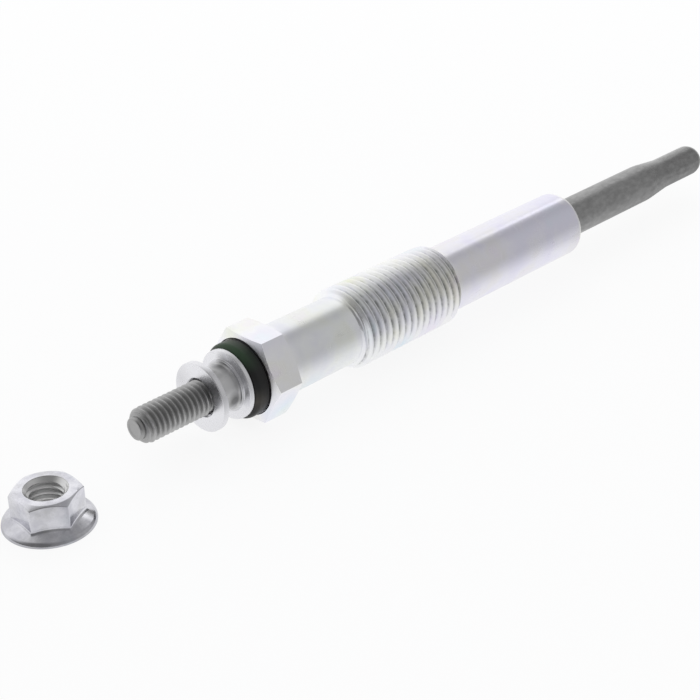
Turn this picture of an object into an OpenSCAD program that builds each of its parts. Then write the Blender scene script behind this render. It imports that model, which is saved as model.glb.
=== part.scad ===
// Diesel glow plug with a threaded body, a spanner hexagon and a threaded terminal stud.
// The plug lies along X, terminal at -X and heated tip at +X, with Z up.
// X = 0 is the middle of the body thread, on the plug's axis. Sizes are in millimetres.

/* [Hexagon and shank] */
// Width across the flats of the hexagon
hex_af = 12; // [11.6:0.1:14]
// Length of the hexagon along the plug
hex_len = 4.7; // [4:0.1:8]
// Length of the corner chamfer at each end of the hexagon
hex_chamfer = 0.2; // [0.1:0.05:0.6]
// Diameter of the plain shank between hexagon and thread
shank_d = 10; // [9.4:0.1:11]
// Length of the plain shank
shank_len = 12.7; // [8:0.1:30]

/* [Body thread and barrel] */
// Outside diameter of the body thread
thread_d = 12; // [11.2:0.1:14]
// Length of the body thread
thread_len = 20; // [12:0.5:40]
// Length of the chamfer at each end of the thread
thread_chamfer = 0.7; // [0.3:0.1:1.2]
// Diameter of the barrel below the thread
barrel_d = 9.9; // [8.8:0.1:11]
// Length of the barrel
barrel_len = 28.2; // [20:0.1:50]
// Chamfer at the barrel's mouth
barrel_chamfer = 0.4; // [0.1:0.1:0.8]
// Bore of the body behind the tube seat
bore_d = 7; // [6.6:0.1:7.4]
// Length of the narrower seat that grips the glow tube
tube_seat_len = 12; // [6:0.5:18]

/* [Glow tube] */
// Outside diameter of the glow tube
tube_d = 6; // [5.6:0.1:6.2]
// Wall of the glow tube
tube_wall = 0.6; // [0.5:0.05:0.7]
// Length of the tube that is hidden in the body
tube_hidden_len = 20; // [19:0.5:21]
// Straight length of the tube beyond the body
tube_straight_len = 21.2; // [18:0.1:24]
// Length of the swaged taper
taper_len = 5.2; // [3:0.1:8]
// Outside diameter of the thin tip
tip_d = 4.9; // [4.6:0.1:5.2]
// Length of the thin tip with its round end
tip_len = 10; // [9:0.1:12]
// Thickness of the closed end
tip_wall = 1.3; // [0.8:0.1:1.6]

/* [Terminal] */
// Crest diameter of the terminal stud's thread
stud_d = 4.9; // [4.7:0.05:5]
// Length of the stud from the hexagon's face to its free end
stud_reach = 18.4; // [15:0.1:24]
// Diameter of the dog point
dog_d = 3.1; // [2.6:0.1:3.6]
// Length of the dog point
dog_len = 0.7; // [0.4:0.1:1.5]
// Diameter of the collar's front flange
collar_front_d = 9.7; // [8.6:0.1:11]
// Thickness of the collar's front flange
collar_front_t = 0.9; // [0.6:0.1:1.4]
// Diameter of the collar's waist
collar_waist_d = 6.2; // [5.9:0.1:7]
// Diameter of the collar's rear flange
collar_rear_d = 9.8; // [8.4:0.1:10.4]
// Thickness of the collar's rear flange
collar_rear_t = 0.75; // [0.5:0.05:1]
// Length of the collar
collar_len = 5.25; // [4.4:0.05:7]
// Diameter of the insulating bush's head
bush_head_d = 10.7; // [10:0.1:11.2]
// Thickness of the bush's head
bush_head_t = 2.2; // [1.8:0.1:3]
// Diameter of the bush's sleeve in the body
bush_sleeve_d = 7.9; // [7.5:0.1:8.1]
// Length of the bush's sleeve in the body
bush_sleeve_len = 2.4; // [1.5:0.1:3]

/* [Loose terminal nut] */
// Width across the flats of the nut
nut_af = 8; // [7.5:0.1:9]
// Height of the nut
nut_h = 4.8; // [4:0.1:6]
// Diameter of the nut's flange
nut_flange_d = 11.8; // [10.6:0.1:12.6]
// Thickness of the flange's rim
nut_rim_t = 0.5; // [0.3:0.1:0.8]
// Wall radius of the nut's threaded hole, at the thread's crests
nut_bore_r = 2.1; // [2.05:0.01:2.2]
// Distance from the stud's free end to the nut's centre, along the plug
nut_away = 14.6; // [10:0.1:40]
// Sideways place of the nut's centre
nut_side = -1.15; // [-20:0.05:20]
// Turn of the nut about its own axis, in degrees
nut_turn = 28; // [0:1:59]

/* [Hidden] */
$fn = 96;

// clearances and cuts
fit = 0.05;          // radial clearance of a press fit
seat = 0.05;         // clearance between two faces that seat on each other
overrun = 1;         // how far a cut passes the surface that it opens
chamfer_slope = tan(30);   // standard corner chamfer of hexagons

// stations of the body along X
thread_x0 = -thread_len / 2;
thread_x1 = thread_len / 2;
hex_x1 = thread_x0 - shank_len;
hex_x0 = hex_x1 - hex_len;
mouth_x = thread_x1 + barrel_len;
seat_x = mouth_x - tube_seat_len;
seat_lead = 0.5;     // lead-in cone behind the tube seat
floor_z = -hex_af / 2;

// insulating bush, seal ring and their counterbore
counterbore_d = bush_sleeve_d + 2 * fit;
rod_d = 4.5;         // plain rod behind the stud's thread
seal_bore_d = rod_d + 2 * fit;
seal_wire_d = (counterbore_d - seal_bore_d) / 2 - fit;
seal_ring_d = (counterbore_d + seal_bore_d) / 2;
bush_x1 = hex_x0 - seat;
bush_x0 = bush_x1 - bush_head_t;
bush_sleeve_x = bush_x1 + bush_sleeve_len;
bush_round = 0.8;    // rounding of the head's front edge
bush_edge = 0.2;     // rounding of its rear edge
seal_x = bush_sleeve_x + seat + seal_wire_d / 2;
counterbore_x = seal_x + seal_wire_d / 2 + seat;

// terminal collar
collar_x1 = bush_x0 - seat;
collar_x0 = collar_x1 - collar_len;
collar_step_d = 7.3; // raised ring at the foot of the waist
collar_step_t = 0.3;
collar_edge = 0.12;  // edge breaks of both flanges
collar_sink = 0.45;  // countersink in the front flange

// centre rod
stud_x0 = hex_x0 - stud_reach;
dog_x1 = stud_x0 + dog_len;
dog_edge = 0.2;
stud_chamfer = 0.8;  // length of the cone from dog point to thread
rod_pin_d = 1.8;     // pin that the control coil is wound on
rod_pin_len = 2;
stud_stop = 0.15;    // gap between the full thread and the collar
stud_x1 = collar_x0 - stud_stop;

// glow tube
tube_x0 = mouth_x - tube_hidden_len;
taper_x0 = mouth_x + tube_straight_len;
taper_x1 = taper_x0 + taper_len;
tip_x = taper_x1 + tip_len;
tip_centre_x = tip_x - tip_d / 2;
tube_inner_r = tube_d / 2 - tube_wall;
tip_inner_r = tip_d / 2 - tube_wall;
tip_inner_x = tip_x - tip_wall - tip_inner_r;   // centre of the round inner end

// seal ring in the tube's open end, the rod's thinner nose in it, and the powder beyond
tube_seal_len = 3;
tube_seal_wall = 0.8;
tube_seal_x1 = tube_x0 + tube_seal_len;
rod_nose_d = 2 * (tube_inner_r - tube_seal_wall - 2 * fit);
nose_x0 = tube_x0 - seat_lead;                  // the rod gets thinner just outside the tube
fill_x0 = tube_seal_x1 + seat;
coil_room = 14;      // straight tube between the rod's nose and the taper
nose_x1 = taper_x0 - coil_room;                 // free end of the rod's nose
pin_x1 = nose_x1 + rod_pin_len;

// coils
control_wire_d = 0.34;
control_coil_r = rod_pin_d / 2 + control_wire_d / 2 + fit;
control_pitch = 0.85;
control_x0 = nose_x1 + control_wire_d / 2 + seat;
control_x1 = taper_x1 - taper_len / 2;
heating_wire_d = 0.42;
heating_coil_r = control_coil_r;
heating_pitch = 0.7;
heating_x0 = control_x1 + (control_wire_d + heating_wire_d) / 2 + seat;
heating_tail_len = 1.2;   // from the last turn to the centre of the tube's round end
heating_x1 = tip_inner_x - heating_tail_len;
heating_tail_x = tip_inner_x
    + sqrt(pow(tip_inner_r, 2) - pow(heating_coil_r + heating_wire_d / 2, 2)) - seat;
coil_sides = 6;
coil_steps = 12;     // rings of the wire in one turn
pocket_r0 = heating_coil_r - heating_wire_d / 2 - fit;
pocket_r1 = heating_coil_r + heating_wire_d / 2 + fit;
pocket_x1 = heating_x1 + heating_wire_d / 2 + seat;

// loose nut
nut_sink_d = 5.4;    // countersink at both ends of the hole
nut_hex_foot = 1.3;  // height at which the flange's cone meets the hexagon's corners
nut_chamfer_d = 7.6; // flat ring on top, inside the chamfer

// a revolved piece along X: each point of its outline is [radius, place along X]
module turned(outline) {
    rotate([0, 90, 0]) rotate_extrude() polygon(outline);
}

// a hexagon along X that rests on a flat
module hexagon_bar(af, x0, x1) {
    translate([x0, 0, 0]) rotate([0, 90, 0]) rotate([0, 0, 30])
        cylinder(h = x1 - x0, r = af / 2 / cos(30), $fn = 6);
}

// points of an arc on an outline, from angle a0 to a1, counted from the radial direction
function arc(x, r, a0, a1, steps = 16) =
    [for (i = [0:steps]) let (a = a0 + (a1 - a0) * i / steps) [r * cos(a), x + r * sin(a)]];

// the same arc, round a centre that stands off the axis
function edge_arc(c, x, r, a0, a1, steps = 8) =
    [for (p = arc(x, r, a0, a1, steps)) [p[0] + c, p[1]]];

// a wound wire: centre line of the turns, and a straight tail that runs on along X
function coil_path(r, pitch, x0, x1, tail_x) =
    let (turns = (x1 - x0) / pitch, n = ceil(turns * coil_steps))
    concat([for (i = [0:n]) let (a = 360 * turns * i / n)
               [x0 + (x1 - x0) * i / n, r * cos(a), r * sin(a)]],
           tail_x > x1 ? [[tail_x, r * cos(360 * turns), r * sin(360 * turns)]] : []);

module wound_wire(path, wire_d) {
    n = len(path);
    points = [for (i = [0:n - 1])
        let (before = path[max(i - 1, 0)], after = path[min(i + 1, n - 1)],
             along = (after - before) / norm(after - before),
             out_raw = [0, path[i][1], path[i][2]],
             side = cross(along, out_raw) / norm(cross(along, out_raw)),
             out = cross(side, along))
        for (k = [0:coil_sides - 1])
            path[i] + wire_d / 2 * (out * cos(360 * k / coil_sides) + side * sin(360 * k / coil_sides))];
    walls = [for (i = [0:n - 2], k = [0:coil_sides - 1])
        let (a = i * coil_sides + k, b = i * coil_sides + (k + 1) % coil_sides)
        each [[a, a + coil_sides, b + coil_sides], [a, b + coil_sides, b]]];
    caps = [[for (k = [0:coil_sides - 1]) k],
            [for (k = [0:coil_sides - 1]) n * coil_sides - 1 - k]];
    polyhedron(points = points, faces = concat(walls, caps), convexity = 10);
}

module body_shell() {
    hex_corner_r = hex_af / 2 / cos(30) + overrun;
    hex_face_r = hex_af / 2 / cos(30) - hex_chamfer / chamfer_slope;
    corner_x = hex_chamfer + overrun * chamfer_slope;
    color("lavender") difference() {
        union() {
            intersection() {
                hexagon_bar(hex_af, hex_x0, hex_x1);
                turned([[0, hex_x0], [hex_face_r, hex_x0], [hex_corner_r, hex_x0 + corner_x],
                        [hex_corner_r, hex_x1 - corner_x], [hex_face_r, hex_x1], [0, hex_x1]]);
            }
            turned([[0, hex_x1 - hex_len / 2], [shank_d / 2, hex_x1 - hex_len / 2],
                    [shank_d / 2, thread_x0],
                    [thread_d / 2, thread_x0 + thread_chamfer], [thread_d / 2, thread_x1 - thread_chamfer],
                    [barrel_d / 2, thread_x1],
                    [barrel_d / 2, mouth_x - barrel_chamfer], [barrel_d / 2 - barrel_chamfer, mouth_x],
                    [0, mouth_x]]);
        }
        turned([[0, hex_x0 - overrun], [counterbore_d / 2, hex_x0 - overrun], [counterbore_d / 2, counterbore_x],
                [bore_d / 2, counterbore_x], [bore_d / 2, seat_x - seat_lead],
                [tube_d / 2 + fit, seat_x], [tube_d / 2 + fit, mouth_x + overrun], [0, mouth_x + overrun]]);
    }
}

module glow_tube() {
    color("dimgray") turned(concat(
        [[tube_inner_r, tube_x0], [tube_d / 2, tube_x0], [tube_d / 2, taper_x0], [tip_d / 2, taper_x1]],
        arc(tip_centre_x, tip_d / 2, 0, 90),
        arc(tip_inner_x, tip_inner_r, 90, 0),
        [[tip_inner_r, taper_x1], [tube_inner_r, taper_x0]]));
}

module centre_rod() {
    color("gray") turned([[0, stud_x0], [dog_d / 2 - dog_edge, stud_x0], [dog_d / 2, stud_x0 + dog_edge],
        [dog_d / 2, dog_x1], [stud_d / 2, dog_x1 + stud_chamfer], [stud_d / 2, stud_x1],
        [rod_d / 2, stud_x1 + (stud_d - rod_d) / 2], [rod_d / 2, nose_x0 - (rod_d - rod_nose_d) / 2],
        [rod_nose_d / 2, nose_x0], [rod_nose_d / 2, nose_x1],
        [rod_pin_d / 2, nose_x1], [rod_pin_d / 2, pin_x1], [0, pin_x1]]);
}

// the flanges slide over the stud's thread, and the waist is crimped down onto the plain rod
module terminal_collar() {
    bore_r = stud_d / 2 + fit;
    crimp_r = rod_d / 2 + fit;
    waist_x0 = collar_x0 + collar_front_t;
    foot_x = collar_x1 - collar_rear_t;
    color("silver") turned([[bore_r + collar_sink, collar_x0],
        [collar_front_d / 2 - collar_edge, collar_x0], [collar_front_d / 2, collar_x0 + collar_edge],
        [collar_front_d / 2, waist_x0 - collar_edge], [collar_front_d / 2 - collar_edge, waist_x0],
        [collar_waist_d / 2, waist_x0], [collar_waist_d / 2, foot_x - collar_step_t],
        [collar_step_d / 2 - collar_edge, foot_x - collar_step_t], [collar_step_d / 2, foot_x],
        [collar_rear_d / 2 - collar_edge, foot_x], [collar_rear_d / 2, foot_x + collar_edge],
        [collar_rear_d / 2, collar_x1 - collar_edge], [collar_rear_d / 2 - collar_edge, collar_x1],
        [bore_r, collar_x1], [bore_r, foot_x], [crimp_r, foot_x - collar_step_t],
        [crimp_r, waist_x0 + (bore_r - crimp_r)], [bore_r, waist_x0], [bore_r, collar_x0 + collar_sink]]);
}

module insulating_bush() {
    bore_r = stud_d / 2 + fit;
    color("black") turned(concat([[bore_r, bush_x0]],
        edge_arc(bush_head_d / 2 - bush_round, bush_x0 + bush_round, bush_round, -90, 0),
        edge_arc(bush_head_d / 2 - bush_edge, bush_x1 - bush_edge, bush_edge, 0, 90),
        [[bush_sleeve_d / 2, bush_x1], [bush_sleeve_d / 2, bush_sleeve_x], [bore_r, bush_sleeve_x]]));
}

module body_seal() {
    color("darkgreen") rotate([0, 90, 0]) translate([0, 0, seal_x])
        rotate_extrude() translate([seal_ring_d / 2, 0]) circle(d = seal_wire_d, $fn = 32);
}

module tube_seal() {
    color("darkred") turned([[rod_nose_d / 2 + fit, tube_x0], [tube_inner_r - fit, tube_x0],
        [tube_inner_r - fit, tube_seal_x1], [rod_nose_d / 2 + fit, tube_seal_x1]]);
}

module heating_coil() {
    color("goldenrod") wound_wire(
        coil_path(heating_coil_r, heating_pitch, heating_x0, heating_x1, heating_tail_x), heating_wire_d);
}

module control_coil() {
    color("peru") wound_wire(
        coil_path(control_coil_r, control_pitch, control_x0, control_x1, control_x1), control_wire_d);
}

// one mass of powder: a ring-shaped pocket holds the coils and opens on the rod's end
module magnesia_fill() {
    turns = (heating_x1 - heating_x0) / heating_pitch;
    outer_r = tube_inner_r - fit;
    tip_r = tip_inner_r - fit;
    color("whitesmoke") difference() {
        turned(concat([[0, fill_x0], [outer_r, fill_x0], [outer_r, taper_x0], [tip_r, taper_x1]],
                      arc(tip_inner_x, tip_r, 0, 90)));
        // hole for the rod's nose
        turned([[0, fill_x0 - overrun], [rod_nose_d / 2 + fit, fill_x0 - overrun],
                [rod_nose_d / 2 + fit, nose_x1 + seat], [0, nose_x1 + seat]]);
        // hole for the rod's pin
        turned([[0, nose_x1], [rod_pin_d / 2 + fit, nose_x1], [rod_pin_d / 2 + fit, pin_x1 + seat],
                [0, pin_x1 + seat]]);
        // pocket for the turns of both coils
        turned([[pocket_r0, nose_x1], [pocket_r1, nose_x1], [pocket_r1, pocket_x1], [pocket_r0, pocket_x1]]);
        // hole for the heating coil's tail
        rotate([360 * turns, 0, 0]) translate([heating_x1, heating_coil_r, 0]) rotate([0, 90, 0])
            cylinder(h = tip_x - heating_x1, d = heating_wire_d + 2 * fit, $fn = 24);
    }
}

// flange nut, standing on its flange at the level that the plug lies on
module terminal_nut() {
    corner_r = nut_af / 2 / cos(30);
    flange_r = nut_flange_d / 2;
    chamfer_h = (corner_r + overrun - nut_chamfer_d / 2) * chamfer_slope;
    color("silver") translate([stud_x0 - nut_away, nut_side, floor_z]) rotate([0, 0, nut_turn])
        difference() {
            union() {
                intersection() {
                    cylinder(h = nut_h, r = corner_r, $fn = 6);
                    rotate_extrude() polygon([[0, 0], [corner_r + overrun, 0],
                        [corner_r + overrun, nut_h - chamfer_h], [nut_chamfer_d / 2, nut_h], [0, nut_h]]);
                }
                rotate_extrude() polygon(concat([[0, 0], [flange_r - nut_rim_t / 2, 0]],
                    edge_arc(flange_r - nut_rim_t / 2, nut_rim_t / 2, nut_rim_t / 2, -90, 80),
                    [[corner_r, nut_hex_foot], [0, nut_hex_foot]]));
            }
            translate([0, 0, -overrun]) cylinder(h = nut_h + 2 * overrun, r = nut_bore_r);
            for (end = [0, 1]) translate([0, 0, end * nut_h]) mirror([0, 0, end])
                translate([0, 0, -overrun]) cylinder(h = overrun + nut_sink_d / 2 - nut_bore_r,
                    r1 = nut_sink_d / 2 + overrun, r2 = nut_bore_r);
        }
}

body_shell();
glow_tube();
centre_rod();
terminal_collar();
insulating_bush();
terminal_nut();
heating_coil();
control_coil();
magnesia_fill();
tube_seal();
body_seal();
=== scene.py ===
import bmesh
import bpy
import math
from mathutils import Matrix, Vector


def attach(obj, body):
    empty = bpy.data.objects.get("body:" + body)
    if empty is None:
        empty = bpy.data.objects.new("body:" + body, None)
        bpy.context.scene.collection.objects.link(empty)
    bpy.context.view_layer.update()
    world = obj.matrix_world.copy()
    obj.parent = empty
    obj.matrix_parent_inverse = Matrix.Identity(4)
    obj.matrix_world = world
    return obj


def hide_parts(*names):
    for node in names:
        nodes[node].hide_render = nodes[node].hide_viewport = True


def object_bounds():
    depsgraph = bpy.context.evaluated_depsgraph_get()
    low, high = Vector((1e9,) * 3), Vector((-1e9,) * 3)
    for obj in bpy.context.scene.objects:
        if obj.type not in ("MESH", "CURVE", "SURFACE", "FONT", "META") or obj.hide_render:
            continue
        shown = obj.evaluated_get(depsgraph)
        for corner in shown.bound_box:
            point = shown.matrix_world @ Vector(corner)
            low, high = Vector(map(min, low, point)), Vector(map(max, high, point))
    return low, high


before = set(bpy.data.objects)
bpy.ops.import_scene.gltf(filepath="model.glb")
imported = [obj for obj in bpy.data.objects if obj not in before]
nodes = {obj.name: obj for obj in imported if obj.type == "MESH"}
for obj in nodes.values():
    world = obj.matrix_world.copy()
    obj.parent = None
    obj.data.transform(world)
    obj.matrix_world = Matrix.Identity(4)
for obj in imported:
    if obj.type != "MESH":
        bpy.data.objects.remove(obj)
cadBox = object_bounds()
scene = bpy.context.scene
scene.view_settings.view_transform = "Standard"
print("frame loaded:", len(nodes), "nodes")

mm = 0.001
perMm = 1 / mm
fullTurn = 2 * math.pi
sixth = math.radians(60)
floorLevel = cadBox[0].z / mm


# lowest and highest corner of a CAD node in mm, to a tenth of a micron
def nodeBox(node):
    corners = [nodes[node].matrix_world @ vertex.co / mm for vertex in nodes[node].data.vertices]
    return [[round(pick(corner[i] for corner in corners), 4) for i in range(3)] for pick in (min, max)]


# drawing helpers; every length is in mm until a corner goes into a mesh


# s is along the plug, r out from its axis, and a turns from +Y towards +Z
def onPlug(s, r, a):
    return (s, r * math.cos(a), r * math.sin(a))


# turns a few corners (along, radius, rounding) into a full outline
def roundedOutline(corners, steps=8):
    points = []
    for i, (s, r, rounding) in enumerate(corners):
        here = Vector((s, r))
        if rounding == 0 or i == 0 or i == len(corners) - 1:
            points.append((s, r))
            continue
        back = Vector(corners[i - 1][:2]) - here
        ahead = Vector(corners[i + 1][:2]) - here
        half = back.angle(ahead) / 2
        reach = min(rounding / math.tan(half), back.length * 0.49, ahead.length * 0.49)
        back.normalize()
        ahead.normalize()
        radius = reach * math.tan(half)
        middle = here + (back + ahead).normalized() * (radius / math.sin(half))
        first = here + back * reach - middle
        last = here + ahead * reach - middle
        for k in range(steps + 1):
            points.append(tuple(middle + first.lerp(last, k / steps).normalized() * radius))
    return points


# points on an arc about (s, r), in degrees; zero points along the axis and 90 away from it
def arc(s, r, radius, start, end, steps):
    swings = [math.radians(start + (end - start) * k / steps) for k in range(steps + 1)]
    return [(s + radius * math.cos(swing), r + radius * math.sin(swing)) for swing in swings]


def turnedRows(outline, angles):
    return [[onPlug(s, r, a) for a in angles] for s, r in outline]


def plainColumns(count=120):
    return [fullTurn * i / count for i in range(count + 1)]


def cornerHalfAngle(flats, rounding):
    middle = (flats / 2 - rounding) / math.cos(sixth / 2)
    return math.atan2(rounding * math.sin(sixth / 2), middle + rounding * math.cos(sixth / 2))


# from the axis to the side of a hexagon; one corner is at angle zero
def hexRadius(a, flats, rounding):
    off = abs((a + sixth / 2) % sixth - sixth / 2)
    if off < cornerHalfAngle(flats, rounding):
        middle = (flats / 2 - rounding) / math.cos(sixth / 2)
        return middle * math.cos(off) + math.sqrt(rounding ** 2 - (middle * math.sin(off)) ** 2)
    return flats / 2 / math.cos(sixth / 2 - off)


# columns round the axis, with extra ones in the rounded corners of a hexagon
def hexColumns(flats, rounding, each=3):
    edge = cornerHalfAngle(flats, rounding)
    angles = {round(math.radians(a), 9) for a in range(0, 360, each)}
    for i in range(6):
        for share in (-1, -0.5, 0.5, 1):
            angles.add(round((i * sixth + share * edge) % fullTurn, 9))
    return sorted(angles) + [fullTurn]


# one pitch of a rolled thread: (share of the pitch, share of the depth), from crest to crest
halfForm = [(0, 1), (0.045, 0.985), (0.075, 0.93), (0.15, 0.70), (0.22, 0.47), (0.30, 0.22), (0.355, 0.07),
            (0.40, 0.01)]
threadForm = halfForm + [(0.5, 0)] + [(1 - share, height) for share, height in reversed(halfForm[1:])]


# a right-handed helix, flattened where the bound allows less, so that it runs out at both ends
def threadRows(t, start, end, bound, angles, place=onPlug):
    rows = []
    firstTurn = math.floor((start - t["firstCrest"]) / t["pitch"]) - 1
    lastTurn = math.ceil((end - t["firstCrest"]) / t["pitch"])
    for turn in range(firstTurn, lastTurn + 1):
        for share, height in threadForm:
            row = []
            for a in angles:
                s = min(max(t["firstCrest"] + t["pitch"] * (turn + share + a / fullTurn), start), end)
                row.append(place(s, bound(s, t["crest"] - t["depth"] * (1 - height)), a))
            rows.append(row)
    return rows


# one closed mesh from rows of points; points at the same place become one corner
def skin(name, rows, sharpAngle=32):
    build = bmesh.new()
    corners = {}

    def corner(point):
        key = tuple(round(c, 5) + 0.0 for c in point)
        if key not in corners:
            corners[key] = build.verts.new([c * mm for c in point])
        return corners[key]

    for lower, upper in zip(rows, rows[1:]):
        for i in range(len(lower) - 1):
            ring = []
            for point in (lower[i], lower[i + 1], upper[i + 1], upper[i]):
                vertex = corner(point)
                if vertex not in ring:
                    ring.append(vertex)
            if len(ring) > 2:
                build.faces.new(ring)
    bmesh.ops.recalc_face_normals(build, faces=build.faces)
    for face in build.faces:
        face.smooth = True
    for edge in build.edges:
        edge.smooth = edge.calc_face_angle(0) < math.radians(sharpAngle)
    openEdges = sum(1 for edge in build.edges if not edge.is_manifold)
    mesh = bpy.data.meshes.new(name)
    build.to_mesh(mesh)
    build.free()
    piece = bpy.data.objects.new(name, mesh)
    scene.collection.objects.link(piece)
    even = piece.modifiers.new("evenShading", "WEIGHTED_NORMAL")
    even.keep_sharp = True
    print("made", name, len(mesh.polygons), "faces,", openEdges, "open edges")
    return piece


def fitted(piece, node, material):
    piece.data.materials.append(material)
    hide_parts(node)
    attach(piece, "root")


# shared effects, as node groups

number = "NodeSocketFloat"
colour = "NodeSocketColor"


# a grey number or a red, green and blue triple, as a colour socket wants it
def solid(shade):
    return (*shade, 1) if isinstance(shade, (tuple, list)) else (shade, shade, shade, 1)


# short names for adding and joining nodes in one tree
class Wiring:
    def __init__(self, tree, source=None, sink=None):
        self.tree = tree
        self.source = source
        self.sink = sink

    def add(self, kind, settings=None, **values):
        node = self.tree.nodes.new(kind)
        for key, value in (settings or {}).items():
            setattr(node, key, value)
        for key, value in values.items():
            self.put(value, node.inputs[key.replace("_", " ")])
        return node

    def put(self, value, socket):
        if isinstance(value, bpy.types.NodeSocket):
            self.tree.links.new(value, socket)
        elif socket.type == "RGBA":
            socket.default_value = solid(value)
        else:
            socket.default_value = value

    def maths(self, operation, *values):
        node = self.add("ShaderNodeMath", {"operation": operation})
        for i, value in enumerate(values):
            self.put(value, node.inputs[i])
        return node.outputs[0]

    def product(self, first, second):
        return self.maths("MULTIPLY", first, second)

    def total(self, first, second):
        return self.maths("ADD", first, second)

    # how far a value is from another, without its sign
    def gap(self, value, middle):
        return self.maths("ABSOLUTE", self.maths("SUBTRACT", value, middle))

    # a middle value that a noise moves up and down
    def uneven(self, noise, middle, spread):
        return self.maths("MULTIPLY_ADD", noise, spread, self.maths("SUBTRACT", middle, spread / 2))

    def mix(self, share, first, second, blend="MIX"):
        node = self.add("ShaderNodeMix", {"data_type": "RGBA", "blend_type": blend}, Factor=share)
        self.put(first, node.inputs[6])
        self.put(second, node.inputs[7])
        return node.outputs[2]

    def span(self, value, low, high, toLow=0.0, toHigh=1.0):
        node = self.add("ShaderNodeMapRange")
        for i, v in enumerate((value, low, high, toLow, toHigh)):
            self.put(v, node.inputs[i])
        return node.outputs[0]

    # a colour that changes along a value, from (place, shade) stops in the given unit
    def ramp(self, value, stops, unit=1.0):
        low = stops[0][0]
        high = stops[-1][0]
        node = self.add("ShaderNodeValToRGB", Fac=self.span(value, low * unit, high * unit))
        elements = node.color_ramp.elements
        elements[0].color = solid(stops[0][1])
        elements[1].color = solid(stops[-1][1])
        for place, shade in stops[1:-1]:
            elements.new((place - low) / (high - low)).color = solid(shade)
        return node.outputs[0]

    def place(self):
        return self.add("ShaderNodeTexCoord").outputs["Object"]

    def parts(self, vector):
        return self.add("ShaderNodeSeparateXYZ", Vector=vector).outputs

    def stretched(self, vector, scale):
        node = self.add("ShaderNodeVectorMath", {"operation": "MULTIPLY"})
        self.put(vector, node.inputs[0])
        self.put(scale, node.inputs[1])
        return node.outputs[0]

    # how far a vector is from a point that is given in mm
    def away(self, vector, point):
        node = self.add("ShaderNodeVectorMath", {"operation": "DISTANCE"})
        self.put(vector, node.inputs[0])
        self.put([c * mm for c in point], node.inputs[1])
        return node.outputs["Value"]

    def noise(self, vector, scale, detail=2.0, roughness=0.5):
        values = {"Vector": vector, "Scale": scale, "Detail": detail, "Roughness": roughness}
        return self.add("ShaderNodeTexNoise", **values).outputs[0]


def newGroup(name, inputs, outputs):
    group = bpy.data.node_groups.new(name, "ShaderNodeTree")
    for label, kind, value in inputs:
        socket = group.interface.new_socket(name=label, in_out="INPUT", socket_type=kind)
        socket.default_value = value
    for label, kind in outputs:
        group.interface.new_socket(name=label, in_out="OUTPUT", socket_type=kind)
    return group, Wiring(group, group.nodes.new("NodeGroupInput"), group.nodes.new("NodeGroupOutput"))


# rings left by the lathe: noise that changes along the plug only
def makeTurnedGrain():
    group, w = newGroup("turnedGrain", [("Rings per mm", number, 8.0), ("Wander", number, 0.02)],
                        [("Height", number), ("Streak", number)])
    along = w.stretched(w.place(), (1.0, 0.02, 0.02))
    scale = w.product(w.source.outputs["Rings per mm"], perMm)
    fine = w.noise(along, scale, 3.0, 0.7)
    broad = w.noise(along, w.product(scale, 0.12))
    wander = w.product(w.noise(w.place(), 260.0), w.source.outputs["Wander"])
    w.put(w.total(fine, wander), w.sink.inputs["Height"])
    w.put(w.product(w.total(fine, broad), 0.5), w.sink.inputs["Streak"])
    return group


# thin colours of the passivated plating, in soft patches
def makePlatingTint():
    base = solid((0.7, 0.7, 0.74))
    inputs = [("Base", colour, base), ("Amount", number, 0.3), ("Patch per mm", number, 0.2)]
    group, w = newGroup("platingTint", inputs, [("Color", colour)])
    given = w.source.outputs
    patch = w.noise(w.place(), w.product(given["Patch per mm"], perMm), 3.0, 0.55)
    film = w.ramp(patch, [(0.28, (0.80, 0.92, 1.0)), (0.42, (0.90, 0.88, 1.0)), (0.52, (1.0, 1.0, 1.0)),
                          (0.62, (1.0, 0.99, 0.86)), (0.72, (1.0, 0.90, 0.97))])
    w.put(w.mix(given["Amount"], given["Base"], film, "MULTIPLY"), w.sink.inputs["Color"])
    return group


# hairline scratches and small specks from handling
def makeHandling():
    group, w = newGroup("handling", [("Scratches", number, 0.3), ("Specks", number, 0.2)],
                        [("Mark", number), ("Height", number)])
    lines = []
    for stretch, scale in (((1.0, 0.12, 0.25), 900.0), ((0.10, 1.0, 0.6), 700.0)):
        line = w.noise(w.stretched(w.place(), stretch), scale, 1.0, 0.4)
        lines.append(w.span(w.gap(line, 0.5), 0.0, 0.006, 1.0, 0.0))
    broken = w.span(w.noise(w.place(), 330.0, 1.0), 0.56, 0.66)
    scratch = w.product(w.product(w.maths("MAXIMUM", *lines), broken), w.source.outputs["Scratches"])
    speck = w.product(w.span(w.noise(w.place(), 2600.0, 0.0), 0.74, 0.80), w.source.outputs["Specks"])
    mark = w.maths("MAXIMUM", scratch, speck)
    w.put(mark, w.sink.inputs["Mark"])
    w.put(w.product(mark, -1.0), w.sink.inputs["Height"])
    return group


# one at a thread's crests and zero at its roots, by distance from the plug's axis
def makeCrestMask():
    inputs = [("Root mm", number, 5.2), ("Crest mm", number, 6.0)]
    group, w = newGroup("crestMask", inputs, [("Crest", number)])
    given = w.source.outputs
    fromAxis = w.away(w.stretched(w.place(), (0.0, perMm, perMm)), (0, 0, 0))
    w.put(w.span(fromAxis, given["Root mm"], given["Crest mm"]), w.sink.inputs["Crest"])
    return group


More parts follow.
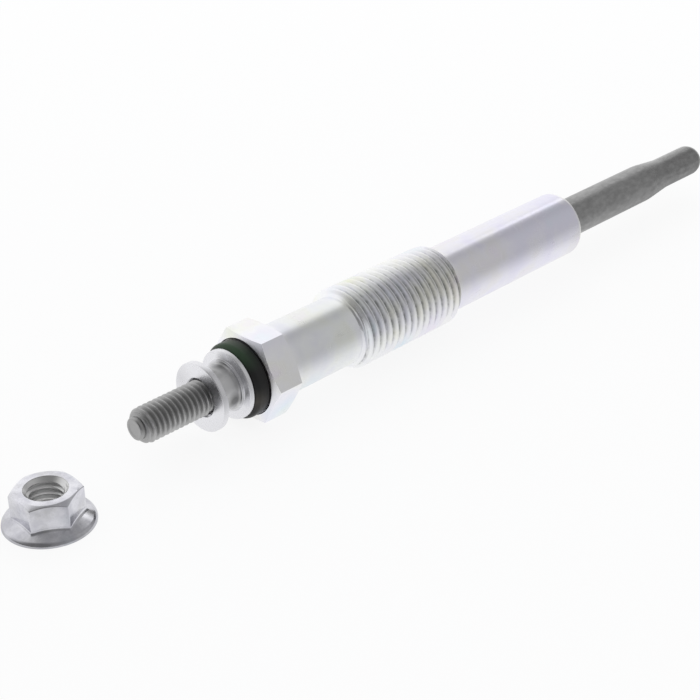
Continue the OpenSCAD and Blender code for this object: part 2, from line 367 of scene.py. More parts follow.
# even, very fine unevenness of a blasted, oxidised or moulded surface
def makeFineGrain():
    group, w = newGroup("fineGrain", [("Grains per mm", number, 6.0), ("Cloud", number, 0.5)],
                        [("Height", number), ("Blotch", number)])
    scale = w.product(w.source.outputs["Grains per mm"], perMm)
    fine = w.noise(w.place(), scale, 3.0, 0.6)
    cloud = w.noise(w.place(), w.product(scale, 0.08), 3.0, 0.6)
    w.put(fine, w.sink.inputs["Height"])
    w.put(w.mix(w.source.outputs["Cloud"], fine, cloud), w.sink.inputs["Blotch"])
    return group


turnedGrain = makeTurnedGrain()
platingTint = makePlatingTint()
handling = makeHandling()
crestMask = makeCrestMask()
fineGrain = makeFineGrain()
print("node groups made")


def newMaterial(name, metallic=0.0):
    material = bpy.data.materials.new(name)
    material.use_nodes = True
    tree = material.node_tree
    tree.nodes.clear()
    shader = tree.nodes.new("ShaderNodeBsdfPrincipled")
    shader.inputs["Metallic"].default_value = metallic
    output = tree.nodes.new("ShaderNodeOutputMaterial")
    tree.links.new(shader.outputs["BSDF"], output.inputs["Surface"])
    return material, Wiring(tree, sink=output), shader


# a shared effect in a material, with this material's own values
def placed(w, group, **values):
    return w.add("ShaderNodeGroup", {"node_tree": group}, **values).outputs


# joins a colour, a roughness and a fine relief to the material's shader
def dress(w, shader, base, roughness, relief, depth=0.004):
    w.put(base, shader.inputs["Base Color"])
    w.put(roughness, shader.inputs["Roughness"])
    bump = w.add("ShaderNodeBump", Strength=1.0, Distance=depth * mm, Height=relief)
    w.put(bump.outputs["Normal"], shader.inputs["Normal"])


# body: hexagon, shank, thread and barrel in one piece

bodyLow, bodyHigh = nodeBox("body_shell")
body = {
    "hexStart": bodyLow[0], "hexEnd": bodyLow[0] + 4.7, "flats": -2 * bodyLow[2], "cornerRounding": 0.16,
    "faceEdge": 5.5, "backEdge": 5.7, "rimRounding": 0.05, "crownFrom": 5.42, "crownTilt": 18,
    "shank": 5.0, "shankFillet": 0.25,
    "threadStart": -10.0, "threadEnd": 10.0, "threadLead": 0.7, "crest": -bodyLow[2], "depth": 0.767,
    "pitch": 1.25, "firstCrest": -9.5,
    "barrel": 4.95, "mouth": bodyHigh[0], "mouthRounding": 0.6,
    "counterbore": 4.0, "counterboreEnd": -22.98, "bore": 3.5,
    "seatLead": bodyHigh[0] - 12.5, "seatStart": bodyHigh[0] - 12.0, "seat": 3.05, "seatEdge": 0.05,
    "tintAndLightStops": [(-27.4, (0.97, 0.97, 1.0)), (-22.6, (0.95, 0.95, 0.98)), (-21.0, (0.88, 0.89, 0.91)),
                  (-12.0, (0.88, 0.90, 0.90)), (-9.5, (0.97, 0.98, 0.98)), (9.0, (0.98, 0.98, 0.98)),
                  (11.0, (0.88, 0.87, 0.93)), (14.0, (0.88, 0.87, 0.95)), (37.5, (0.88, 0.87, 0.96)),
                  (37.65, (1.0, 1.0, 1.0)), (38.2, (1.0, 1.0, 1.0))],
    "tintPatches": [
        ((-5.5, 2.0, 5.6), 2.6, (1.0, 1.0, 0.80)), ((-27.4, 2.6, 5.8), 2.4, (0.98, 1.0, 0.86)),
        ((-24.5, -4.6, -4.2), 3.4, (0.86, 0.96, 1.0)), ((-19.0, -3.4, -3.6), 3.2, (0.88, 0.97, 1.0)),
        ((-1.5, -4.4, -4.0), 2.4, (0.86, 0.97, 1.0)), ((4.0, -5.0, -3.2), 2.6, (0.99, 0.92, 1.0))],
    "tintAmount": 0.40, "valleyShade": (0.16, 0.17, 0.17), "valleyShadeStrength": 0.78, "markShade": (0.5, 0.5, 0.52),
    "roughness": 0.25, "faceRoughness": 0.14, "threadRoughness": 0.04, "markRoughness": 0.15,
    "ringsPerMm": 7.0,
}


# the hexagon, crowned at both end faces
def hexRows(b, angles):
    slope = math.tan(math.radians(b["crownTilt"]))
    halfLength = (b["hexEnd"] - b["hexStart"]) / 2
    rim = b["rimRounding"]

    # half of one column, as (distance from the end face, radius)
    def halfColumn(a):
        side = hexRadius(a, b["flats"], b["cornerRounding"])
        column = []
        for off, out in arc(rim, -rim, rim, 180, 90, 4):
            column.append((off, min(side, b["crownFrom"] + off / slope) + out))
        crownEnd = max(rim, (side - b["crownFrom"]) * slope)
        return column + [(crownEnd, side), (halfLength, side)]

    columns = [halfColumn(a) for a in angles]
    front = []
    back = []
    for ring in zip(*columns):
        front.append([onPlug(b["hexStart"] + off, r, a) for a, (off, r) in zip(angles, ring)])
        back.append([onPlug(b["hexEnd"] - off, r, a) for a, (off, r) in zip(angles, ring)])
    return front + back[::-1]


def bodyBound(b):
    def bound(s, r):
        lead = b["shank"] + (s - b["threadStart"]) / b["threadLead"] * (b["crest"] - b["shank"])
        runOut = b["barrel"] + (b["threadEnd"] - s) / b["threadLead"] * (b["crest"] - b["barrel"])
        return min(r, lead, runOut)
    return bound


def makeBody(b):
    angles = hexColumns(b["flats"], b["cornerRounding"])
    face = [(b["hexStart"], b["counterbore"]), (b["hexStart"], b["faceEdge"])]
    shank = roundedOutline([(b["hexEnd"], b["backEdge"], 0), (b["hexEnd"], b["shank"], b["shankFillet"]),
                            (b["threadStart"], b["shank"], 0)], 4)
    barrel = roundedOutline([
        (b["threadEnd"], b["barrel"], 0), (b["mouth"], b["barrel"], b["mouthRounding"]),
        (b["mouth"], b["seat"] + b["seatEdge"], 0), (b["mouth"] - b["seatEdge"], b["seat"], 0),
        (b["seatStart"], b["seat"], 0), (b["seatLead"], b["bore"], 0), (b["counterboreEnd"], b["bore"], 0),
        (b["counterboreEnd"], b["counterbore"], 0), (b["hexStart"], b["counterbore"], 0)])
    thread = threadRows(b, b["threadStart"], b["threadEnd"], bodyBound(b), angles)
    return skin("platedBody", turnedRows(face, angles) + hexRows(b, angles) + turnedRows(shank, angles)
                + thread + turnedRows(barrel, angles))


def makePlating(b):
    material, w, shader = newMaterial("zincPlating", 1.0)
    along = w.parts(w.place())[0]
    # the plating's tone along the plug; its lighter hexagon and thread are partly painted light, and the
    # white on the mouth's rounded edge is a painted highlight
    tint = placed(w, platingTint, Base=w.ramp(along, b["tintAndLightStops"], mm), Amount=b["tintAmount"],
                  Patch_per_mm=0.16)["Color"]
    for centre, radius, shade in b["tintPatches"]:
        tint = w.mix(w.span(w.away(w.place(), centre), radius * mm, 0.0), tint, shade, "MULTIPLY")
    crest = placed(w, crestMask, Root_mm=b["crest"] - b["depth"], Crest_mm=b["crest"] - 0.1)["Crest"]
    onThread = w.product(w.maths("GREATER_THAN", along, (b["threadStart"] + b["threadLead"]) * mm),
                         w.maths("LESS_THAN", along, b["threadEnd"] * mm))
    # painted shade: the thread's valleys darken in patches towards the roots
    valley = w.product(onThread, w.maths("SUBTRACT", 1.0, crest))
    patchy = w.span(w.noise(w.place(), 1100.0, 3.0, 0.65), 0.36, 0.64, 0.35, 1.0)
    valleyShade = w.product(w.span(valley, 0.36, 0.95, 0.0, b["valleyShadeStrength"]), patchy)
    marks = placed(w, handling, Scratches=0.4, Specks=0.08)
    grain = placed(w, turnedGrain, Rings_per_mm=b["ringsPerMm"])
    base = w.mix(w.product(marks["Mark"], 0.25), w.mix(valleyShade, tint, b["valleyShade"]), b["markShade"])
    facing = w.parts(w.add("ShaderNodeNewGeometry").outputs["True Normal"])[0]
    onFace = w.maths("GREATER_THAN", w.maths("ABSOLUTE", facing), 0.95)
    rough = w.uneven(grain["Streak"], b["roughness"], 0.12)
    for mask, extra in ((onFace, b["faceRoughness"]), (onThread, b["threadRoughness"]),
                        (marks["Mark"], b["markRoughness"])):
        rough = w.maths("MULTIPLY_ADD", mask, extra, rough)
    dress(w, shader, base, rough, w.total(grain["Height"], marks["Height"]))
    return material


fitted(makeBody(body), "body_shell", makePlating(body))


# sheath: the glow tube, swaged down to its tip

sheathLow, sheathHigh = nodeBox("glow_tube")
sheath = {
    "open": sheathLow[0], "radius": -sheathLow[2], "openRounding": 0.1, "taperStart": sheathHigh[0] - 15.2,
    "taperEnd": sheathHigh[0] - 10.0, "swage": 14.0, "tip": 2.45, "end": sheathHigh[0],
    "inner": 2.4, "tipInner": 1.85, "endWall": 1.3,
    "colour": 0.30, "light": 0.40, "tipColour": 0.25, "tipLight": 0.335, "markShade": 0.5, "tipBlend": 3.0,
    "roughness": 0.34, "tipRoughness": 0.20, "ringRelief": 0.8, "relief": 0.006,
}


def makeSheath(t):
    outside = roundedOutline([
        (t["open"], t["inner"], 0), (t["open"], t["radius"], t["openRounding"]),
        (t["taperStart"], t["radius"], t["swage"]), (t["taperEnd"], t["tip"], t["swage"]),
        (t["end"] - t["tip"], t["tip"], 0)])
    inside = [(t["taperEnd"], t["tipInner"]), (t["taperStart"], t["inner"]), (t["open"], t["inner"])]
    outline = outside + arc(t["end"] - t["tip"], 0, t["tip"], 90, 0, 18)
    outline += arc(t["end"] - t["endWall"] - t["tipInner"], 0, t["tipInner"], 0, 90, 8) + inside
    return skin("glowSheath", turnedRows(outline, plainColumns()))


def makeSheathSteel(t):
    material, w, shader = newMaterial("oxidisedSheath", 1.0)
    grain = placed(w, fineGrain, Grains_per_mm=5.0, Cloud=0.8)
    rings = placed(w, turnedGrain, Rings_per_mm=5.0)
    marks = placed(w, handling, Scratches=0.4, Specks=0.2)
    onTip = w.span(w.parts(w.place())[0], (t["taperStart"] - t["tipBlend"]) * mm, t["taperEnd"] * mm)
    blotch = w.span(w.noise(w.stretched(w.place(), (0.55, 1.0, 1.0)), 1500.0, 4.0, 0.62), 0.34, 0.66)
    upper = w.mix(blotch, t["colour"], t["light"])
    tip = w.mix(blotch, t["tipColour"], t["tipLight"])
    base = w.mix(w.product(marks["Mark"], 0.3), w.mix(onTip, upper, tip), t["markShade"])
    rough = w.uneven(grain["Blotch"], w.span(onTip, 0.0, 1.0, t["roughness"], t["tipRoughness"]), 0.12)
    relief = w.total(grain["Height"], w.product(rings["Height"], t["ringRelief"]))
    dress(w, shader, base, rough, relief, t["relief"])
    return material


fitted(makeSheath(sheath), "glow_tube", makeSheathSteel(sheath))


# centre rod with the terminal stud

rodLow, rodHigh = nodeBox("centre_rod")
rod = {
    "end": rodLow[0], "dog": 1.55, "dogEnd": rodLow[0] + 0.65, "dogRounding": 0.3, "dish": 0.08,
    "fullThread": rodLow[0] + 1.7, "threadEnd": rodLow[0] + 11.4, "runOut": 0.4,
    "crest": -rodLow[2], "depth": 0.49, "pitch": 0.8, "firstCrest": rodLow[0] + 1.2, "neck": 1.96,
    "rod": 2.25, "noseStart": 17.7, "noseTaper": 0.75, "nose": 1.5, "noseEnd": rodHigh[0] - 2.0,
    "pin": 0.9, "pinEnd": rodHigh[0],
    "colour": 0.56, "root": 0.38, "dull": 0.40, "roughness": 0.37,
}


# the thread starts from a rounded lead behind the dog point
def studBound(t):
    def bound(s, r):
        before = min(max((t["fullThread"] - s) / (t["fullThread"] - t["dogEnd"]), 0.0), 1.0)
        lead = t["dog"] + math.sqrt(1 - before ** 2) * (t["crest"] - t["dog"])
        runOut = t["neck"] + (t["threadEnd"] - s) / t["runOut"] * (t["crest"] - t["neck"])
        return min(r, lead, runOut)
    return bound


def makeRod(t):
    angles = plainColumns(96)
    floor = t["end"] + t["dish"]
    point = roundedOutline([
        (floor, 0.0, 0), (floor, t["dog"] * 0.55, t["dogRounding"]),
        (t["end"], t["dog"] * 0.72, t["dogRounding"]), (t["end"], t["dog"], t["dogRounding"]),
        (t["dogEnd"], t["dog"], 0)], 4)
    rest = [(t["threadEnd"], t["neck"]), (t["threadEnd"] + t["rod"] - t["neck"], t["rod"]),
            (t["noseStart"] - t["noseTaper"], t["rod"]), (t["noseStart"], t["nose"]),
            (t["noseEnd"], t["nose"]), (t["noseEnd"], t["pin"]), (t["pinEnd"], t["pin"]), (t["pinEnd"], 0.0)]
    thread = threadRows(t, t["dogEnd"], t["threadEnd"], studBound(t), angles)
    return skin("terminalRod", turnedRows(point, angles) + thread + turnedRows(rest, angles))


def makeStudSteel(t):
    material, w, shader = newMaterial("darkStudSteel", 1.0)
    crest = placed(w, crestMask, Root_mm=t["crest"] - t["depth"], Crest_mm=t["crest"])["Crest"]
    grain = placed(w, fineGrain, Grains_per_mm=6.0, Cloud=0.6)
    marks = placed(w, handling, Scratches=0.5, Specks=0.4)
    # the roots take the darker colour as painted shade, and the crests take the lighter one in patches, as
    # wear
    crestWearRootShade = w.product(crest, w.span(w.noise(w.place(), 900.0, 3.0, 0.6), 0.35, 0.65, 0.25, 1.0))
    base = w.mix(crestWearRootShade, t["root"], t["colour"])
    base = w.mix(w.product(w.span(grain["Blotch"], 0.4, 0.62), 0.4), base, t["dull"])
    rough = w.uneven(grain["Blotch"], t["roughness"], 0.14)
    dress(w, shader, base, rough, w.total(grain["Height"], marks["Height"]))
    return material


fitted(makeRod(rod), "centre_rod", makeStudSteel(rod))


# terminal collar: front flange, waist and rear flange

collarLow, collarHigh = nodeBox("terminal_collar")
collar = {
    "front": collarLow[0], "frontEnd": collarLow[0] + 0.9, "frontRadius": 4.85, "hole": 2.5, "sink": 0.3,
    "sinkRounding": 0.05, "edge": 0.14, "waist": 3.1, "neckFillet": 0.75, "footFillet": 0.4,
    "stepStart": collarHigh[0] - 1.05, "step": 3.65, "stepRounding": 0.12, "stepFillet": 0.1,
    "rearStart": collarHigh[0] - 0.75, "rearRadius": -collarLow[2], "rear": collarHigh[0],
    "crimpStart": collarLow[0] + 1.15, "crimp": 2.3,
    "colour": (0.82, 0.82, 0.85), "shadedWaistColour": (0.72, 0.72, 0.73), "markShade": (0.35, 0.35, 0.36),
    "paintedShade": 0.22, "shadeRingPlace": -30.95, "shadeRingWidth": 0.45, "shadeRingStrength": 0.45,
    "shadeSpots": [((-31.6, -3.0, -0.7), 1.6, 1.4), ((-31.2, 0.1, 3.3), 1.9, 1.2),
              ((-32.6, -0.4, 3.1), 1.5, 0.8), ((-34.95, 3.6, 1.4), 3.0, 0.22),
              ((-30.1, -1.2, 4.75), 2.0, 0.45)],
    "roughness": 0.27, "waistRoughness": 0.36,
}


def makeCollar(c):
    edge = c["edge"]
    sunk = (c["front"] + c["sink"], c["hole"], 0)
    corners = [sunk, (c["front"], c["hole"] + c["sink"], c["sinkRounding"]),
               (c["front"], c["frontRadius"], edge), (c["frontEnd"], c["frontRadius"], edge),
               (c["frontEnd"], c["waist"], c["neckFillet"]), (c["stepStart"], c["waist"], c["footFillet"]),
               (c["stepStart"], c["step"], c["stepRounding"]), (c["rearStart"], c["step"], c["stepFillet"]),
               (c["rearStart"], c["rearRadius"], edge), (c["rear"], c["rearRadius"], edge),
               (c["rear"], c["hole"], 0), (c["rearStart"], c["hole"], 0), (c["stepStart"], c["crimp"], 0),
               (c["crimpStart"], c["crimp"], 0), (c["frontEnd"], c["hole"], 0), sunk]
    return skin("crimpCollar", turnedRows(roundedOutline(corners, 4), plainColumns()))


def makeCollarMetal(c):
    material, w, shader = newMaterial("nickelCollar", 1.0)
    grain = placed(w, turnedGrain, Rings_per_mm=6.0)
    cloud = placed(w, fineGrain, Grains_per_mm=5.0, Cloud=0.9)
    marks = placed(w, handling, Scratches=0.5, Specks=0.3)
    along = w.parts(w.place())[0]
    onWaist = w.product(w.maths("GREATER_THAN", along, c["frontEnd"] * mm),
                        w.maths("LESS_THAN", along, c["stepStart"] * mm))
    # painted shade: a blotched dark ring at the foot of the waist, by the step to the rear flange, and dark
    # spots on the waist, the front flange's face and the rear flange's rim
    fromShadeRing = w.gap(along, c["shadeRingPlace"] * mm)
    shaded = w.product(w.span(fromShadeRing, c["shadeRingWidth"] * mm, 0.0, 0.0, c["shadeRingStrength"]),
                        w.span(cloud["Blotch"], 0.42, 0.56, 0.35, 1.0))
    for centre, radius, strength in c["shadeSpots"]:
        shadeSpot = w.span(w.away(w.place(), centre), radius * mm, 0.0, 0.0, strength)
        shaded = w.maths("MAXIMUM", shaded, shadeSpot)
    # the waist between the flanges takes a darker colour, as painted shade
    base = w.mix(shaded, w.mix(onWaist, c["colour"], c["shadedWaistColour"]), c["paintedShade"])
    base = w.mix(w.product(marks["Mark"], 0.4), base, c["markShade"])
    rough = w.uneven(cloud["Blotch"], w.span(onWaist, 0.0, 1.0, c["roughness"], c["waistRoughness"]), 0.16)
    dress(w, shader, base, rough, grain["Height"])
    return material


fitted(makeCollar(collar), "terminal_collar", makeCollarMetal(collar))


# insulating bush

bushLow, bushHigh = nodeBox("insulating_bush")
bush = {
    "front": bushLow[0], "back": bushLow[0] + 2.2, "radius": -bushLow[2],
    "frontRounding": 0.8, "backRounding": 0.2, "sleeve": 3.95, "sleeveEnd": bushHigh[0], "hole": 2.5,
    "colour": 0.012, "greenSheen": (0.026, 0.064, 0.027), "greenSheenFrom": 3.0, "greenSheenTo": 5.2,
    "lowSheenAt": -1.0, "lowSheenReach": 2.0, "lowSheenColour": (0.060, 0.054, 0.045), "roughness": 0.38, "shine": 0.24,
}


def makeBush(b):
    corners = [(b["front"], b["hole"], 0), (b["front"], b["radius"], b["frontRounding"]),
               (b["back"], b["radius"], b["backRounding"]), (b["back"], b["sleeve"], 0),
               (b["sleeveEnd"], b["sleeve"], 0), (b["sleeveEnd"], b["hole"], 0), (b["front"], b["hole"], 0)]
    return skin("insulator", turnedRows(roundedOutline(corners), plainColumns()))


# painted light: a green sheen at the top and a paler brownish sheen in a band just below the middle, both
# fading from the front edge to the back
def makeBushPlastic(b):
    material, w, shader = newMaterial("blackInsulator")
    grain = placed(w, fineGrain, Grains_per_mm=4.0, Cloud=0.9)
    along, across, height = w.parts(w.place())
    forward = w.span(along, b["back"] * mm, b["front"] * mm)
    greenSheenMask = w.product(w.span(height, b["greenSheenFrom"] * mm, b["greenSheenTo"] * mm),
                      w.span(grain["Blotch"], 0.3, 0.6, 0.6, 1.0))
    lowSheen = w.span(w.gap(height, b["lowSheenAt"] * mm), b["lowSheenReach"] * mm, 0.0)
    base = w.mix(w.product(greenSheenMask, forward), b["colour"], b["greenSheen"])
    base = w.mix(w.product(lowSheen, forward), base, b["lowSheenColour"])
    shader.inputs["Specular IOR Level"].default_value = b["shine"]
    dress(w, shader, base, w.uneven(grain["Blotch"], b["roughness"], 0.14), grain["Height"])
    return material


fitted(makeBush(bush), "insulating_bush", makeBushPlastic(bush))


# loose terminal nut, standing on its flange

nutLow, nutHigh = nodeBox("terminal_nut")
nut = {
    "x": (nutLow[0] + nutHigh[0]) / 2, "y": (nutLow[1] + nutHigh[1]) / 2, "turned": 28,
    "height": nutHigh[2] - nutLow[2], "flats": 8.0, "cornerRounding": 0.22, "topRing": 3.78, "topTilt": 30,
    "topEdge": 0.34, "edge": 0.16, "footRounding": 0.5,
    "flange": (nutHigh[1] - nutLow[1]) / 2, "rim": 0.04, "dome": 0.75, "domeTilt": 22,
    "crest": 2.1, "depth": -0.45, "pitch": 0.8, "firstCrest": 0.3, "sink": 2.8, "mouthEase": 0.05,
    "colour": (0.64, 0.64, 0.68), "light": (0.86, 0.86, 0.91), "markShade": (0.35, 0.35, 0.36),
    "roughness": 0.15, "shadeUnder": 1.5, "shadeFade": 0.4, "dull": 0.82,
    "holeColour": (0.72, 0.72, 0.70), "holeRoughness": 0.34, "holeReach": 0.02,
}


def onNut(s, r, a):
    turned = a + math.radians(nut["turned"])
    return (nut["x"] + r * math.cos(turned), nut["y"] + r * math.sin(turned), floorLevel + s)


def nutBound(n):
    def bound(s, r):
        return max(r, n["sink"] - s, n["sink"] - (n["height"] - s))
    return bound


def makeNut(n):
    angles = hexColumns(n["flats"], n["cornerRounding"])
    tilt = math.radians(n["domeTilt"])
    domeMiddle = n["flange"] - n["dome"]
    domeTop = n["rim"] + n["dome"] * math.cos(tilt)
    domeEdge = domeMiddle + n["dome"] * math.sin(tilt)

    # the flange's top is a shallow cone that turns over into the rim
    def column(a):
        side = hexRadius(a, n["flats"], n["cornerRounding"])
        shoulder = n["height"] - (side - n["topRing"]) * math.tan(math.radians(n["topTilt"]))
        foot = domeTop + (domeEdge - side) * math.tan(tilt)
        top = roundedOutline([
            (n["height"] - n["mouthEase"], n["sink"] - n["mouthEase"], 0),
            (n["height"], n["sink"], n["mouthEase"]), (n["height"], n["topRing"], n["topEdge"]),
            (shoulder, side, n["edge"]), (foot, side, n["footRounding"]), (domeTop, domeEdge, 0)], 4)
        flange = arc(n["rim"], domeMiddle, n["dome"], n["domeTilt"], 90, 12)
        rim = arc(n["rim"], n["flange"] - n["rim"], n["rim"], 90, 180, 5)
        return top + flange + rim + [(0.0, n["sink"])]

    columns = [column(a) for a in angles]
    rows = [[onNut(s, r, a) for a, (s, r) in zip(angles, ring)] for ring in zip(*columns)]
    rows += threadRows(n, 0.0, n["height"], nutBound(n), angles, onNut)
    return skin("flangeNut", rows)


def makeNutMetal(n):
    material, w, shader = newMaterial("nutPlating", 1.0)
    cloud = placed(w, fineGrain, Grains_per_mm=5.0, Cloud=0.9)
    marks = placed(w, handling, Scratches=0.6, Specks=0.4)
    tint = placed(w, platingTint, Base=n["colour"], Amount=0.25, Patch_per_mm=0.25)["Color"]
    base = w.mix(w.product(w.span(cloud["Blotch"], 0.4, 0.62), 0.8), tint, n["light"])
    base = w.mix(w.product(marks["Mark"], 0.4), base, n["markShade"])
    # painted shade: the nut darkens close to the floor
    shadeTop = floorLevel + n["shadeUnder"]
    low = w.span(w.parts(w.place())[2], shadeTop * mm, (shadeTop - n["shadeFade"]) * mm)
    base = w.mix(low, base, w.mix(1.0, base, n["dull"], "MULTIPLY"))
    fromAxis = w.away(w.stretched(w.place(), (1.0, 1.0, 0.0)), (n["x"], n["y"], 0.0))
    inHole = w.maths("LESS_THAN", fromAxis, (n["sink"] + n["holeReach"]) * mm)
    base = w.mix(w.product(inHole, 0.7), base, n["holeColour"])
    rough = w.uneven(cloud["Blotch"], w.span(inHole, 0.0, 1.0, n["roughness"], n["holeRoughness"]), 0.16)
    dress(w, shader, base, rough, cloud["Height"])
    return material


fitted(makeNut(nut), "terminal_nut", makeNutMetal(nut))


# pieces inside, shown as the frame has them

inner = {
    "heating_coil": ("heatingWire", (0.55, 0.48, 0.40), 1.0, 0.35),
    "control_coil": ("controlWire", (0.58, 0.56, 0.52), 1.0, 0.32),
    "magnesia_fill": ("packedMagnesia", (0.80, 0.79, 0.75), 0.0, 0.9),
    "tube_seal": ("tubeSealRubber", (0.11, 0.02, 0.015), 0.0, 0.55),
    "body_seal": ("bodySealRubber", (0.012, 0.035, 0.018), 0.0, 0.5),
}
for node, (name, base, metallic, roughness) in inner.items():
    material, w, shader = newMaterial(name, metallic)
    grain = placed(w, fineGrain, Grains_per_mm=5.0, Cloud=0.7)
    darker = [c * 0.7 for c in base]
    blotched = w.mix(w.span(grain["Blotch"], 0.35, 0.65), base, darker)
    dress(w, shader, blotched, w.uneven(grain["Blotch"], roughness, 0.12), grain["Height"])
    nodes[node].data.materials.clear()
    nodes[node].data.materials.append(material)
print("inner pieces painted")


# studio: floor, grey tent with a bright card, lamp, world and camera

studio = {
    "floorSize": 4.0, "floorColour": 0.86, "floorGlow": 0.88,
    "floorGreys": [(-60, 0.50), (-27, 0.56), (-13, 0.74), (-8, 0.90), (-5, 0.96), (-1, 0.99), (2, 1.0)],
    "floorPaintedShadows": [
        {"at": -5, "reach": 16, "full": 7,
         "along": [(-66, 0.82), (-58, 0.88), (-51, 1.0), (38, 1.0), (50, 0.84), (66, 0.71), (82, 0.65)]},
        {"at": 3, "reach": 7, "full": 4, "along": [(38, 1.0), (50, 0.92), (66, 0.72), (82, 0.60)]}],
    "tentRadius": 0.50, "tentColumns": 96, "tentLevels": 24,
    "tentGreys": [(-180, 0.20), (-134, 0.21), (-90, 0.38), (-50, 0.52), (-22, 0.48), (-5, 0.42), (8, 0.46),
                  (15, 0.58), (26, 0.86), (34, 0.98), (112, 1.0), (134, 1.0), (150, 0.76), (163, 0.42),
                  (172, 0.26), (180, 0.22)],
    "zenith": 0.40, "zenithFrom": 46, "zenithTo": 78, "lowShift": 0.6, "lowUnder": 25,
    "card": 1.6, "cardAt": (20, 37.5), "cardHalf": (5.5, 5), "cardSoft": (2.5, 2.5),
    "lampPower": 1.15, "lampSize": 0.5, "lampPlace": (0.34, 0.34, 0.28),
    "ambient": 0.85, "ambientColour": (0.97, 0.98, 1.0),
}
view = {
    "place": (-153.202, -149.258, 112.556), "aim": (-12.60, -5.18, 0.0), "roll": -1.13, "lens": 87.30,
    "sensor": 36.0, "near": 0.01, "far": 20.0,
}


def stageSheet(name, points, faces, material):
    mesh = bpy.data.meshes.new(name)
    mesh.from_pydata(points, [], faces)
    sheet = bpy.data.objects.new(name, mesh)
    sheet.data.materials.append(material)
    scene.collection.objects.link(sheet)
    return sheet


# one where the camera or a reflection looks, zero for the light that falls on things
def seen(w):
    path = w.add("ShaderNodeLightPath").outputs
    direct = w.maths("MAXIMUM", path["Is Camera Ray"], path["Is Glossy Ray"])
    return w.maths("MAXIMUM", direct, path["Is Transmission Ray"])


# white to the camera, and in reflections a grey that changes across and along the plug, as painted light and
# shade: greyer in front of the plug, white under and behind it, and darker in painted shadows near the nut
# and the glow tube
def makeFloor(s):
    material, w, shader = newMaterial("paperFloor")
    w.put(s["floorColour"], shader.inputs["Base Color"])
    shader.inputs["Roughness"].default_value = 0.9
    shader.inputs["Specular IOR Level"].default_value = 0.0
    along, across, height = w.parts(w.place())
    # painted light and shade seen in reflections: the floor greys towards the front and darkens in painted
    # shadows near the nut and the glow tube
    grey = w.ramp(across, s["floorGreys"], mm)
    for shade in s["floorPaintedShadows"]:
        close = w.span(w.gap(across, shade["at"] * mm), shade["reach"] * mm, shade["full"] * mm)
        grey = w.product(grey, w.mix(close, 1.0, w.ramp(along, shade["along"], mm)))
    strength = w.maths("MAXIMUM", grey, w.add("ShaderNodeLightPath").outputs["Is Camera Ray"])
    glow = w.add("ShaderNodeEmission", Strength=strength)
    blend = w.add("ShaderNodeMixShader", Fac=w.product(seen(w), s["floorGlow"]))
    w.put(shader.outputs["BSDF"], blend.inputs[1])
    w.put(glow.outputs["Emission"], blend.inputs[2])
    w.put(blend.outputs["Shader"], w.sink.inputs["Surface"])
    half = s["floorSize"] / 2
    level = cadBox[0].z
    corners = [(-half, -half, level), (half, -half, level), (half, half, level), (-half, half, level)]
    stageSheet("floor", corners, [(0, 1, 2, 3)], material)


# a dome that only reflections see: dark in front, grey beside and overhead, white behind
def makeTentGlow(s):
    material, w, shader = newMaterial("greyTent")
    across = w.parts(w.place())
    azimuth = w.maths("ARCTAN2", across[1], across[0])
    height = w.maths("ARCSINE", w.maths("DIVIDE", across[2], s["tentRadius"]))
    low = w.maths("MAXIMUM", w.maths("SUBTRACT", math.radians(s["lowUnder"]), height), 0.0)
    azimuth = w.total(azimuth, w.product(low, s["lowShift"]))
    up = w.span(height, math.radians(s["zenithFrom"]), math.radians(s["zenithTo"]))
    grey = w.mix(up, w.ramp(azimuth, s["tentGreys"], math.radians(1)), s["zenith"])
    inside = []
    for angle, at, half, soft in zip((azimuth, height), s["cardAt"], s["cardHalf"], s["cardSoft"]):
        off = w.gap(angle, math.radians(at))
        inside.append(w.span(off, math.radians(half), math.radians(half - soft)))
    grey = w.mix(w.product(*inside), grey, s["card"])
    glow = w.add("ShaderNodeEmission", Color=grey, Strength=1.0)
    w.put(glow.outputs["Emission"], w.sink.inputs["Surface"])
    w.tree.nodes.remove(shader)
    return material


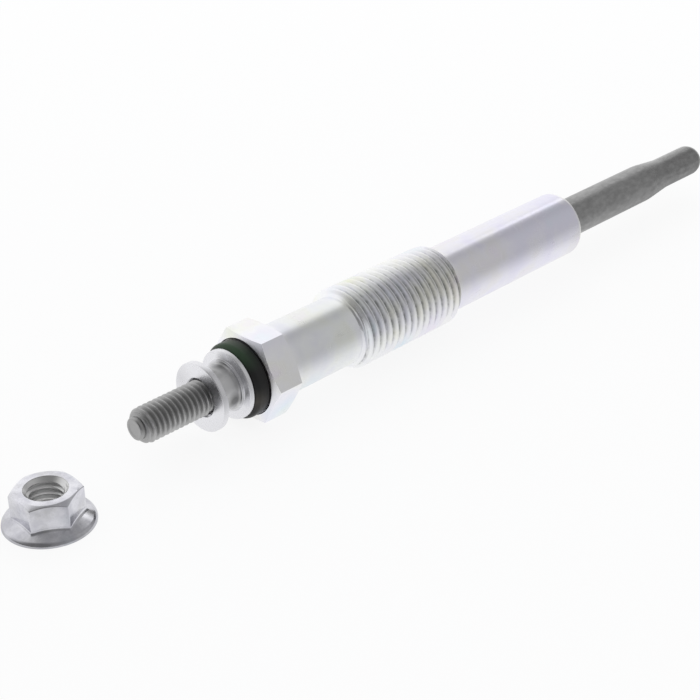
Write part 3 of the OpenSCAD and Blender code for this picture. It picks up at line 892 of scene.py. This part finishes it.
def makeTent(s):
    columns = s["tentColumns"]
    points = []
    faces = []
    for j in range(s["tentLevels"] + 1):
        rise = math.pi / 2 * j / s["tentLevels"]
        around = s["tentRadius"] * math.cos(rise)
        for i in range(columns):
            turn = fullTurn * i / columns
            points.append((around * math.cos(turn), around * math.sin(turn),
                           s["tentRadius"] * math.sin(rise) + cadBox[0].z))
    for j in range(s["tentLevels"]):
        lower = j * columns
        upper = lower + columns
        for i in range(columns):
            after = (i + 1) % columns
            faces.append((lower + i, lower + after, upper + after, upper + i))
    tent = stageSheet("tent", points, faces, makeTentGlow(s))
    tent.visible_camera = False
    tent.visible_diffuse = False
    tent.visible_shadow = False


def makeLamp(s):
    data = bpy.data.lights.new("softBack", "AREA")
    data.energy = s["lampPower"]
    data.size = s["lampSize"]
    lamp = bpy.data.objects.new("softBack", data)
    lamp.location = s["lampPlace"]
    lamp.rotation_euler = (-Vector(s["lampPlace"])).to_track_quat("-Z", "Y").to_euler()
    lamp.visible_camera = False
    lamp.visible_glossy = False
    scene.collection.objects.link(lamp)


def makeWorld(s):
    world = bpy.data.worlds.new("studioWorld")
    world.use_nodes = True
    world.node_tree.nodes.clear()
    w = Wiring(world.node_tree)
    room = w.add("ShaderNodeBackground", Color=s["ambientColour"], Strength=s["ambient"])
    backdrop = w.add("ShaderNodeBackground", Color=1.0, Strength=1.0)
    blend = w.add("ShaderNodeMixShader", Fac=seen(w))
    output = w.add("ShaderNodeOutputWorld")
    w.put(room.outputs[0], blend.inputs[1])
    w.put(backdrop.outputs[0], blend.inputs[2])
    w.put(blend.outputs[0], output.inputs["Surface"])
    scene.world = world


def makeCamera(v):
    data = bpy.data.cameras.new("camera")
    data.lens = v["lens"]
    data.sensor_width = v["sensor"]
    data.clip_start = v["near"]
    data.clip_end = v["far"]
    camera = bpy.data.objects.new("camera", data)
    place = Vector(v["place"]) * mm
    facing = (Vector(v["aim"]) * mm - place).to_track_quat("-Z", "Y").to_matrix().to_4x4()
    roll = Matrix.Rotation(math.radians(v["roll"]), 4, "Z")
    camera.matrix_world = Matrix.Translation(place) @ facing @ roll
    scene.collection.objects.link(camera)
    scene.camera = camera


makeFloor(studio)
makeTent(studio)
makeLamp(studio)
makeWorld(studio)
makeCamera(view)
print("studio and camera set")
